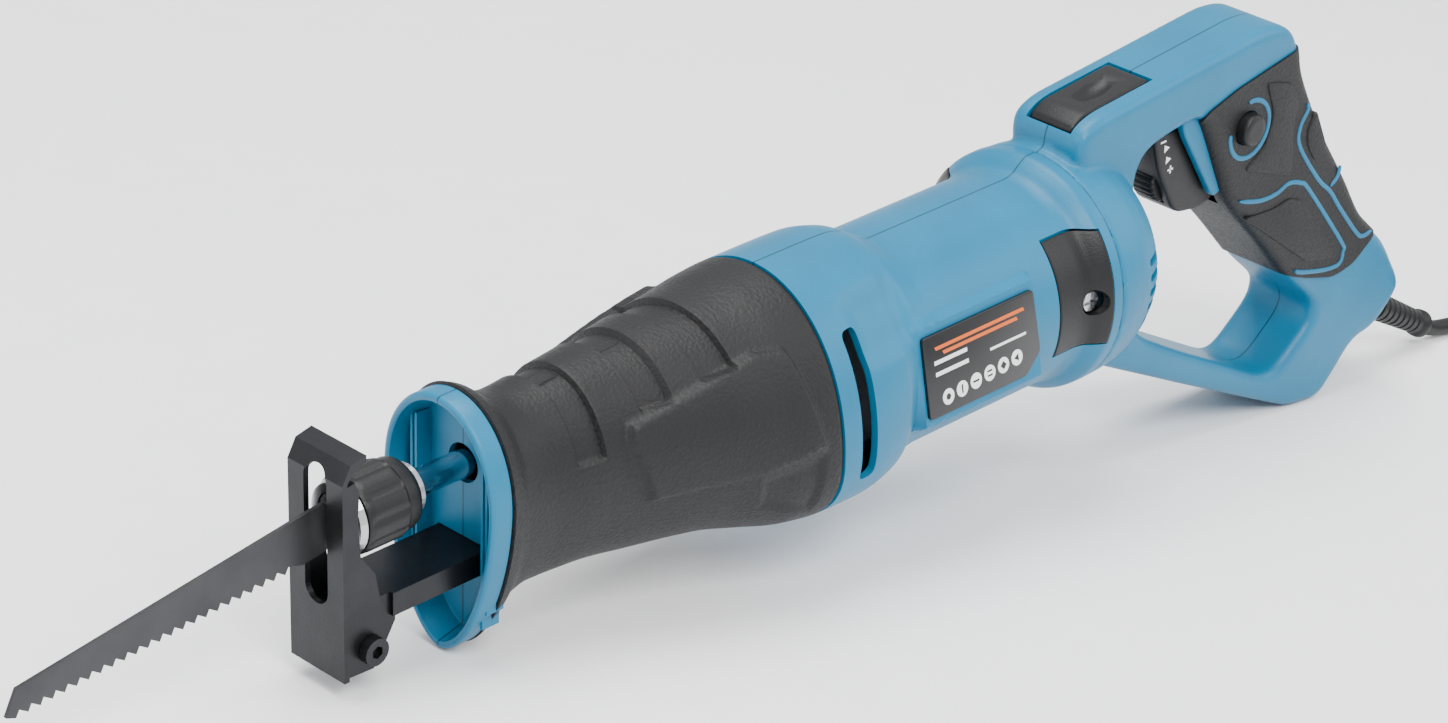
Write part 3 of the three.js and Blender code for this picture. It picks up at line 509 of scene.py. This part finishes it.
def build_cord():
    points = smooth_way(cord_route(), 4)
    points.pop()
    course = [(r, 0) for r in COIL_RADII] + [(r, 1) for r in reversed(COIL_RADII)]
    centre = Vector((COIL_X, COIL_Y, 0))
    for k in range(len(course) * TURN_POINTS + 1):
        turn = k / TURN_POINTS
        i = min(int(turn), len(course) - 1)
        u = turn - i
        r_now, layer_now = course[i]
        if i == 0:
            r_from, layer_from = LEAD_RADIUS, 0
        else:
            r_from, layer_from = course[i - 1]
        w = smoothstep(0, 0.6, u)
        r = r_from + (r_now - r_from) * w
        z = 3.3 + 6.3 * (layer_from + (layer_now - layer_from) * w)
        a = -math.pi / 2 - 2 * math.pi * turn
        points.append(centre + Vector((math.cos(a) * r, math.sin(a) * r, z)))
    a = -math.pi / 2 - 2 * math.pi * len(course)
    swing = [(0.35, 46, 10.2), (0.8, 48.5, PLUG_Z), (1.25, 51, PLUG_Z), (1.7, 53.5, PLUG_Z),
             (2.15, 54.5, PLUG_Z), (2.55, 54.8, PLUG_Z)]
    for da, r, z in swing:
        t = a - da
        points.append(centre + Vector((math.cos(t) * r, math.sin(t) * r, z)))
    points += [Vector((COIL_X - 6, PLUG_Y + 0.3, PLUG_Z)), Vector((COIL_X + 16, PLUG_Y, PLUG_Z))]
    curve = bpy.data.curves.new("power_cord", "CURVE")
    curve.dimensions = "3D"
    spline = curve.splines.new("NURBS")
    spline.points.add(len(points) - 1)
    for q, p in zip(spline.points, points):
        q.co = (*(p * MM), 1)
    spline.order_u = 4
    spline.use_endpoint_u = True
    curve.bevel_depth = CORD_R * MM
    curve.bevel_resolution = 4
    curve.resolution_u = 3
    obj = bpy.data.objects.new("power_cord", curve)
    bpy.context.scene.collection.objects.link(obj)
    curve.materials.append(SMOOTH_RUBBER)
    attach(obj, "handle")
    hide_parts("cord_lead", "cord_coil")
    plug = build_plug()


def build_plug():
    x, y, z = COIL_X + 12, PLUG_Y, PLUG_Z
    outline = [(x, -4.6), (x + 12, -6), (x + 20, -5), (x + 24, -5), (x + 46, -5), (x + 46, 29),
               (x + 24, 29), (x + 19, 17), (x + 12, 7.5), (x, 4.6)]
    outline = rounded_outline(outline, 4, 4)
    n = len(outline)
    rings = []
    rounding = [(10, 2.6), (9.3, 1.2), (7.6, 0.3), (5, 0)]
    for dz, inset in [(-h, i) for h, i in rounding] + rounding[::-1]:
        ring = []
        cx, cy = x + 27, 9
        for px, py in outline:
            scale = 1 - inset / 24
            narrow = 0.62 + 0.38 * smoothstep(x + 2, x + 20, px)
            ring.append((cx + (px - cx) * scale, y + cy + (py - cy) * scale, z + dz * narrow))
        rings.append(ring)
    to_world = Matrix.Scale(MM, 4)
    faces = grid_faces(len(rings), n, True)
    faces += [tuple(range(n)), tuple(range(n * len(rings) - 1, n * (len(rings) - 1) - 1, -1))]
    obj = from_points("mains_plug", [p for ring in rings for p in ring], faces, to_world)
    return dress(bevelled(obj, 0.4, 2, 50), BLACK, "handle", ["plug_body"])


def build_relief():
    profile = [(-9.5, 4), (-9.5, 6.6), (-6.5, 6.6), (-6.3, 6.3)]
    s = -4
    while s < RELIEF_LENGTH - 9:
        r = 6.4 - 1.8 * (s + 8) / (RELIEF_LENGTH + 8)
        profile += [(s, r), (s + 2.6, r - 0.06), (s + 2.9, r - 0.9), (s + 3.9, r - 0.95),
                    (s + 4.2, r - 0.1)]
        s += 4.4
    profile += [(RELIEF_LENGTH - 7, 4.6), (RELIEF_LENGTH - 5.4, 4.8), (RELIEF_LENGTH - 4.4, 5.5),
                (RELIEF_LENGTH - 1.4, 5.6), (RELIEF_LENGTH - 0.4, 5.1),
                (RELIEF_LENGTH, 4.2), (RELIEF_LENGTH, 3.3)]
    obj = lathe("strain_sleeve", profile, EXIT, EXIT_WAY, 40)
    dress(obj, SMOOTH_RUBBER, "handle", ["strain_relief"], 45)


# ---------------------------------------------------------------- front end
def pad_place(p):
    """(height over the axis, distance up the label's plane) of a skin point, on either side."""
    y = abs(p.y)
    return y * math.cos(LEAN) + p.z * math.sin(LEAN), p.z * math.cos(LEAN) - y * math.sin(LEAN)


def window(value, a, b, soft):
    return smoothstep(a - soft, a, value) * (1 - smoothstep(b, b + soft, value))


def housing_relief(p, outward, x):
    s, u = pad_place(p)
    w = window(x, 40, 97.5, 1.6) * window(u, -20.5, 13.5, 2.2)
    if w > 0:
        side = math.copysign(1, p.y)
        gain = w * (38.8 - s)
        p = p + Vector((0, side * math.cos(LEAN), math.sin(LEAN))) * gain
    scallop = window(x, 104, 118, 10) * window(p.z, 24, 33, 8)
    p = p - outward * 2.2 * scallop
    if abs(p.y) < 0.15:
        p = p - outward * 0.55
    return p


def slot_outline(x0, x1, z0, z1):
    return rounded_outline([(x0, z0), (x1, z0), (x1, z1), (x0, z1)], 3, 5)


def build_housing():
    shell = thickened(skin_surface("front_housing", 0.5, 138.7, 0.9, 190, housing_relief), 2.8)
    for side in (1, -1):
        y0, y1 = sorted((side * 26, side * 60))
        boolean(shell, prism("slot", slot_outline(123.4, 130.6, -19, 31), y0, y1))
        boolean(shell, block("hatch", 4.5, 27, y0, y1, -13, 28))
    dress(shell, BLUE, "front", ["front_shell_left", "front_shell_right"], 32)
    rings = []
    shape = [(262, 4.2), (266.9, 4.2), (266.95, 0.5), (267.4, 0), (273.6, 0), (274.5, 0.3), (275, 1),
             (275, 2), (274.6, 2.6), (273, 2.9), (268, 4.2), (264.9, 4.8), (NOSE_WALL_X, 5.6)]
    for x, inset in shape:
        rings.append([ring_point(x, RIM, a, inset) for a in angles(150)])
    nose = tube_of_rings("nose_rim", rings)
    boolean(nose, lathe("hole", [(0, 6.6), (40, 6.6)], (250, 0, PLUNGER_Z), (1, 0, 0), 48))
    boolean(nose, block("bar_hole", 240, 280, -11.8, 11.8, BAR_TOP_Z - 8.6, BAR_TOP_Z + 0.3))
    dress(nose, BLUE, "front", (), 40)
    ribs = []
    for i, y in enumerate((-17, -15, 15, 17)):
        ribs.append(block("rib", 263.5, 270.5, y - 0.5, y + 0.5, -24 if abs(y) > 16 else -30, 34))
    dress(merged("nose_ribs", ribs), BLUE, "front")


BOOT_BANDS = [(174, 186, 31), (199.5, 210, 28), (227, 236.5, 18)]
SIDE_PAD = [(217, 26), (219, 20), (212, -2), (170.6, -4), (146.4, -0.4), (154, 33), (167, 34)]
LOW_FACET = [(170.6, -5.5), (146.4, -2), (148, -26), (169, -18)]


def inside_by(outline, x, z):
    """How far (x, z) lies inside a convex outline; negative outside."""
    area = sum(a[0] * b[1] - b[0] * a[1] for a, b in zip(outline, outline[1:] + outline[:1]))
    turn = math.copysign(1, area)
    reach = 1e9
    for a, b in zip(outline, outline[1:] + outline[:1]):
        dx, dz = b[0] - a[0], b[1] - a[1]
        reach = min(reach, turn * ((dx * (z - a[1]) - dz * (x - a[0])) / math.hypot(dx, dz)))
    return reach


def boot_relief(p, outward, x):
    lift = 0
    for x0, x1, low in BOOT_BANDS:
        lift -= 1.9 * window(x, x0, x1, 0.8) * smoothstep(low - 1.2, low + 1.2, p.z)
    lift += 2.6 * smoothstep(-0.6, 2.6, inside_by(SIDE_PAD, x, p.z))
    lift -= 1.4 * smoothstep(-0.4, 3, inside_by(LOW_FACET, x, p.z))
    lift -= 0.7 * (1 - smoothstep(0, 1.2, x - BOOT_X0 - 0.4))
    if abs(p.y) < 0.15:
        lift -= 0.5
    return p + outward * lift


def build_boot():
    sleeve = skin_surface("rubber_sleeve", BOOT_X0 + 0.2, BOOT_X1 - 0.2, 0.76, 250, boot_relief)
    halves = ["rubber_boot_left", "rubber_boot_right"]
    dress(thickened(sleeve, 2.4), RUBBER, "front", halves, 30)


def plate(name, outline, s0, s1, side):
    """The outline (x, distance up the label's plane), from s0 to s1 out of the axis."""
    c, s = math.cos(LEAN), math.sin(LEAN)
    n = len(outline)
    points = [(x, side * (h * c - u * s), h * s + u * c) for h in (s0, s1) for x, u in outline]
    faces = [tuple(range(n)), tuple(range(2 * n - 1, n - 1, -1))]
    faces += [(i, (i + 1) % n, n + (i + 1) % n, n + i) for i in range(n)]
    return from_points(name, points, faces)


def disc(x, u, r, sides=28):
    return [(x + r * math.cos(2 * math.pi * i / sides),
             u + r * math.sin(2 * math.pi * i / sides)) for i in range(sides)]


def bar(x, u, w, h, lean=0.0):
    return [(x - w + lean * -h, u - h), (x + w + lean * -h, u - h), (x + w + lean * h, u + h),
            (x - w + lean * h, u + h)]


def build_label(side, word):
    top = LABEL_OUT + 0.6
    outline = [(96.5, 10.5), (41.5, 10.5), (40.5, -11.5), (48.5, -18), (96.5, -18)]
    base = plate("label_base_" + word, rounded_outline(outline, 1.6), LABEL_OUT - 0.8, top, side)
    base = bevelled(base, 0.2, 2)
    dress(base, LABEL, "front", ["label_plate_" + word])
    orange = [
        plate("s", bar(69, 5.4 - 2.2 * k, 22 - 3.6 * k, 0.62, 0.5), top - 0.1, top + 0.08, side)
        for k in range(2)
    ]
    dress(merged("label_stripes_" + word, orange), ORANGE_INK, "front")
    white = [
        plate("s", bar(84 - 0.2 * k, 0.6 - 4.0 * k, 8, 0.7), top - 0.1, top + 0.08, side)
        for k in range(2)
    ]
    white.append(plate("s", bar(56, -3.2, 9, 0.45), top - 0.1, top + 0.08, side))
    spots, marks = [], []
    for k in range(6):
        x, u = 87 - 6.9 * k, -12.4 + 0.45 * k
        spots.append(plate("s", disc(x, u, 2.75), top - 0.1, top + 0.08, side))
        shapes = [
            [disc(x, u, 1.1, 16)], [bar(x, u, 0.35, 1.5)], [bar(x, u, 1.5, 0.35)],
            [bar(x, u + 0.8, 1.2, 0.3), bar(x, u - 0.8, 1.2, 0.3)],
            [disc(x, u, 1.5, 4)],
            [disc(x, u, 1.5, 3)],
        ][k]
        marks += [plate("m", o, top, top + 0.14, side) for o in shapes]
    dress(merged("label_spots_" + word, white + spots), WHITE_INK, "front")
    dress(merged("label_marks_" + word, marks), LABEL, "front")


def build_brush_cover(side, word):
    rows, columns = stations(4.9, 26.6, 0.9), stations(-12.6, 27.6, 0.9)
    points = []
    for x in rows:
        for z in columns:
            points.append((x, side * (side_y(x, z) + 0.35), z))
    patch = from_points("brush_hatch_" + word, points, grid_faces(len(rows), len(columns), False))
    middle = sum((f.normal.y for f in patch.data.polygons), 0.0)
    if middle * side < 0:
        patch.data.flip_normals()
    thickened(patch, 2.4)
    bevelled(patch, 0.5, 3, 50)
    y0, y1 = sorted((side * 20, side * 60))
    boolean(patch, prism("hole", disc(11, 4, 4.6, 40), y0, y1))
    dress(patch, BLACK, "front", ["brush_cover_" + word], 35)
    profile = [(0, 2.4), (0.6, 2.4), (0.6, 4), (2.6, 4), (3.1, 3.7), (3.3, 3.1), (3.3, 0.02)]
    screw = lathe("hatch_screw_" + word, profile, (11, side * 34.9, 4), (0, side, 0), 40)
    y0, y1 = sorted((side * 37.2, side * 39))
    slot = prism("s", [(7.4, 3.4), (14.6, 3.4), (14.6, 4.6), (7.4, 4.6)], y0, y1)
    boolean(screw, slot)
    boolean(screw, prism("s", [(10.4, 0.4), (11.6, 0.4), (11.6, 7.6), (10.4, 7.6)], y0, y1))
    dress(screw, STEEL, "front", ["cover_screw_" + word])


def build_clamp():
    def lobes(s, a):
        grip = window(s, 8, 21.5, 1)
        return -0.75 * grip * (0.5 + 0.5 * math.cos(10 * a)) ** 3
    x0 = COLLAR_X0
    profile = [(0, 8.8), (0, 9.3), (0.4, 9.7), (1.8, 11.4), (3, 11.8), (6.6, 12.0), (7.2, 12.7), (8, 13)]
    profile += [(8 + 0.9 * k, 13) for k in range(1, 15)]
    profile += [(22.4, 12.8), (23.2, 12.3), (23.4, 8.8)]
    collar = lathe("clamp_sleeve", profile, (x0, 0, PLUNGER_Z), (1, 0, 0), 160, lobes)
    boolean(collar, lathe("bore", [(-3, 8.72), (40, 8.72)], (x0 - 1, 0, PLUNGER_Z), (1, 0, 0), 64))
    dress(collar, BLACK, "collar", ["clamp_collar"], 40)


# ---------------------------------------------------------------- handle
def build_handle():
    outline = rounded_outline(HANDLE_OUTLINE, 6, 4)
    body = prism("handle_body", outline, -HANDLE_W, HANDLE_W)
    boolean(body, prism("gap", rounded_outline(HANDLE_OPENING, 7, 4), -40, 40))
    bevelled(body, 5.2, 5, 50)
    dome = lathe("dome", [(-33, 0.5), (-36, 14), (-36, 24), (-34.5, 28.5), (-30, 33.5), (-26, 37.2),
                          (-20, 40.4),
                          (-14, 42.4), (-7, 43.3), (-0.4, 43.5), (-0.2, 42.6), (-0.2, 20), (-0.2, 0.5)],
                 (0, 0, 0), (1, 0, 0), 120)
    boolean(body, dome, "UNION")
    voxelled(body, 1.15, 4)
    skin_copy = link(body.data.copy(), "grip_source")
    cuts = [
        lathe("room", [(-33, 0.5), (-32.8, 22), (-29, 28), (-22, 34), (-14, 38.3), (3, 39.6), (3, 0.5)],
              (0, 0, 0), (1, 0, 0), 96),
        block("trigger_gap", -104, -50, -9.4, 9.4, -3, 46 - 8),
        block("button_gap", -49.2, -6, -10.1, 10.1, 40.4, 75),
        block("stem_gap", -14, -9, -3.6, 3.6, 20, 50),
    ]
    for other in cuts:
        boolean(body, other)
    holes = []
    for i in range(7):
        z = 11 - i * 5.6
        for side in (1, -1):
            y0, y1 = sorted((side * 13, side * 46))
            slot = rounded_outline([(-60, z - 2.8), (-17.5, z - 2.8), (-17.5, z), (-60, z)], 1.3, 4)
            holes.append(prism("s", slot, y0, y1))
    boolean(body, merged("slots", holes))
    boolean(body, prism("lock_hole", disc(*LOCK, 6.4, 40), 9, 40))
    dress(body, BLUE, "handle", ["handle_shell_left", "handle_shell_right"], 40)
    return skin_copy


RIB_A = [(-132, 27.8), (-133, 25.6), (-129, 19), (-130.4, 11), (-143.7, -5.8), (-152, -13.3),
         (-159.5, -22.6), (-172.3, -37.2), (-177, -39.8), (-181.6, -39.2)]
RIB_B = [(-151.9, -11.3), (-155.8, -8.6), (-157, -4.5)]
RIB_C = [(-96.4, -0.1), (-108.8, -3.6), (-118.7, -3.8), (-125.6, -1.9), (-133, -4), (-138.8, -8.7),
         (-163, -37.9), (-164.6, -42.4), (-163, -46.9), (-154, -46.5), (-140, -42.9), (-135, -40.8)]


def rib(points, side, width, y_mid, depth):
    way = smooth_way([Vector((x, 0, z)) for x, z in points], 5)
    rings = []
    for i, p in enumerate(way):
        t = (way[min(i + 1, len(way) - 1)] - way[max(i - 1, 0)]).normalized()
        across = Vector((t.z, 0, -t.x))
        taper = min(1, 0.35 + 0.3 * min(i, len(way) - 1 - i))
        ring = []
        for k in range(10):
            a = 2 * math.pi * k / 10
            ring.append(p + across * math.cos(a) * width * taper
                        + Vector((0, side * (y_mid + math.sin(a) * depth), 0)))
        rings.append(ring)
    return tube_of_rings("rib", rings)


def build_grip(source):
    m = source.modifiers.new("swell", "DISPLACE")
    m.strength = 0.85 * MM
    m.mid_level = 0
    bake(source)
    source.name = "grip_rubber"
    boolean(source, prism("band", rounded_outline(GRIP_BAND, 4, 4), -40, 40), "INTERSECT")
    boolean(source, block("trigger_gap", -104, -50, -9.4, 9.4, -3, 38))
    boolean(source, prism("lock_hole", disc(*LOCK, 6.6, 40), 9, 40))
    dress(source, RUBBER, "handle", ["grip_pad_left", "grip_pad_right"], 40)
    ribs = []
    for side in (1, -1):
        for points in (RIB_A, RIB_B, RIB_C):
            ribs.append(rib(points, side, 0.95, HANDLE_W + 0.75, 0.65))
        ring = [(LOCK[0] - 1.5 + 11 * math.cos(math.radians(a)),
                 LOCK[1] - 1 + 11 * math.sin(math.radians(a)))
                for a in range(80, 371, 15)]
        ribs.append(rib(ring, side, 1.0, HANDLE_W + 0.75, 0.65))
    dress(merged("grip_inlay", ribs), BLUE_INLAY, "handle")
    panels = []
    for outline in ([(-100, -8), (-118, -9.5), (-127, -8), (-134, -11), (-158, -39), (-157, -42.5),
                     (-141, -38.5)],
                    [(-97, 12), (-108, 8), (-118, 4), (-127, 1), (-126, 9), (-124, 22), (-127, 30),
                     (-121, 40), (-106, 44), (-112, 30), (-108, 18)],
                    [(-140, 20), (-138, 24), (-133.5, 17), (-134.5, 10.5), (-140.5, 2), (-147, 6)]):
        for side in (1, -1):
            y0, y1 = sorted((side * 14, side * (HANDLE_W + 1.5)))
            panels.append(bevelled(prism("panel", rounded_outline(outline, 3, 4), y0, y1), 0.7, 3, 50))
    dress(merged("grip_panels", panels), RUBBER, "handle")
    tongues = []
    for y0 in (9.8, -13.4):
        outline = rounded_outline([(-74.6, 40), (-93.2, 6.6), (-86, 3.2), (-66, 34), (-64, 40)], 3, 4)
        tongues.append(bevelled(prism("tongue", outline, y0, y0 + 3.6), 0.9, 3, 50))
    dress(merged("trigger_guard", tongues), BLUE, "handle")


def build_controls():
    outline = rounded_outline([(-54, 36), (-59, 20), (-70, 0.5), (-85, -2), (-96, 2), (-97, 34)], 5, 5)
    pull = bevelled(prism("trigger_shell", outline, -9, 9), 1.6, 4, 50)
    boolean(pull, prism("dial_slot", disc(*DIAL, 9, 40), -5.4, 5.4))
    boolean(pull, lathe("spring_seat", [(-1, 3.6), (18.5, 3.6)], (-99, 0, 22), (1, 0, 0), 32))
    dress(pull, BLACK, "trigger", ["trigger"], 35)

    marks = []
    for side in (1, -1):
        y0, y1 = sorted((side * 8.95, side * 9.12))
        for outline in ([(-60.6, 27.4), (-60.6, 30.4), (-63.4, 28.9)],
                        [(-62, 22.6), (-62, 25.6), (-64.8, 24.1)],
                        [(-63.4, 19.4), (-66.4, 19.4), (-66.4, 20.1), (-63.4, 20.1)],
                        [(-64.55, 18.25), (-65.25, 18.25), (-65.25, 21.25), (-64.55, 21.25)],
                        [(-58.2, 31.6), (-61.2, 31.6), (-61.2, 32.3), (-58.2, 32.3)]):
            marks.append(prism("mark", outline, y0, y1))
    dress(merged("speed_marks", marks), WHITE_INK, "trigger")

    def knurl(s, a):
        return -0.55 * (0.5 + 0.5 * math.cos(24 * a)) ** 2
    wheel = lathe("dial_wheel", [(-5, 2), (-5, 7.6), (-4.4, 8.3), (-3.6, 8.6), (3.6, 8.6), (4.4, 8.3),
                                 (5, 7.6), (5, 2)],
                  (DIAL[0], 0, DIAL[1]), (0, 1, 0), 144, knurl)
    dress(wheel, BLACK, "dial", ["speed_dial"], 35)
    lock = lathe("lock_cap", [(12.6, 5.5), (12.6, 6), (19.8, 6), (20.6, 5.9), (21.2, 5.5),
                              (21.6, 4.7), (21.7, 3.4), (21.5, 0.03)], (LOCK[0], 0, LOCK[1]), (0, 1, 0), 64)
    dress(lock, BLACK, "lock", ["lock_button"])
    outline = rounded_outline([(-6.9, 45), (-6.9, 53.2), (-13, 56.5), (-47.4, 59.8), (-48.4, 57.8),
                               (-48.4, 45)], 2, 4)
    cap = bevelled(prism("release_cap", outline, -9.4, 9.4), 2.2, 4, 50)
    dish = lathe("dish", [(-14, 0.3), (-12, 3), (-7, 5.4), (0, 6.4), (7, 5.4), (12, 3), (14, 0.3)],
                 (-28, 0, 62.2), (1, 0, -0.09), 60)
    boolean(cap, dish)
    stem = bevelled(block("stem", -13, -9.8, -3, 3, 24, 47), 0.4, 2)
    paw = bevelled(block("pawl", -12, -5.7, -3, 3, 24, 26.4), 0.3, 2)
    dress(merged("release_cap", [cap, stem, paw]), BLACK, "release",
          ["release_button"], 35)


# ---------------------------------------------------------------- floor and light
def build_stage():
    size, n = 6.0, 40
    points = [(size * (i / n - 0.5), size * (j / n - 0.5), 0) for i in range(n + 1) for j in range(n + 1)]
    below = Matrix.Translation((0, 0, -0.0004))
    floor = from_points("floor", points, grid_faces(n + 1, n + 1, False), below)
    pale = look("pale_floor", (0.86, 0.86, 0.865), (0.84, 0.84, 0.845), 0.7, 60, 0.00002)
    floor.data.materials.append(pale)
    if sum(f.normal.z for f in floor.data.polygons) < 0:
        floor.data.flip_normals()
    for name, at, target, energy, width in (
        ("key", (0.9, 1.6, 1.9), (0, 0, 0.05), 70, 1.1),
        ("fill", (-1.5, 1.3, 1.3), (0, 0, 0.05), 22, 1.6),
        ("top", (0.1, -0.3, 2.1), (0, 0, 0), 62, 1.4),
        ("nose", (2.1, -0.5, 0.9), (0, 0, 0.05), 18, 1.2),
    ):
        data = bpy.data.lights.new(name, "AREA")
        data.energy = energy
        data.size = width
        light = bpy.data.objects.new(name, data)
        light.location = at
        light.rotation_euler = (Vector(target) - Vector(at)).to_track_quat("-Z", "Y").to_euler()
        bpy.context.scene.collection.objects.link(light)
    world = bpy.data.worlds.new("studio")
    world.use_nodes = True
    world.node_tree.nodes["Background"].inputs["Color"].default_value = (0.97, 0.98, 1, 1)
    world.node_tree.nodes["Background"].inputs["Strength"].default_value = 1.0
    bpy.context.scene.world = world


build_camera()
build_cord()
build_relief()
dress_nodes()
build_housing()
build_boot()
for side, word in ((1, "left"), (-1, "right")):
    build_label(side, word)
    build_brush_cover(side, word)
build_clamp()
build_grip(build_handle())
build_controls()
build_stage()
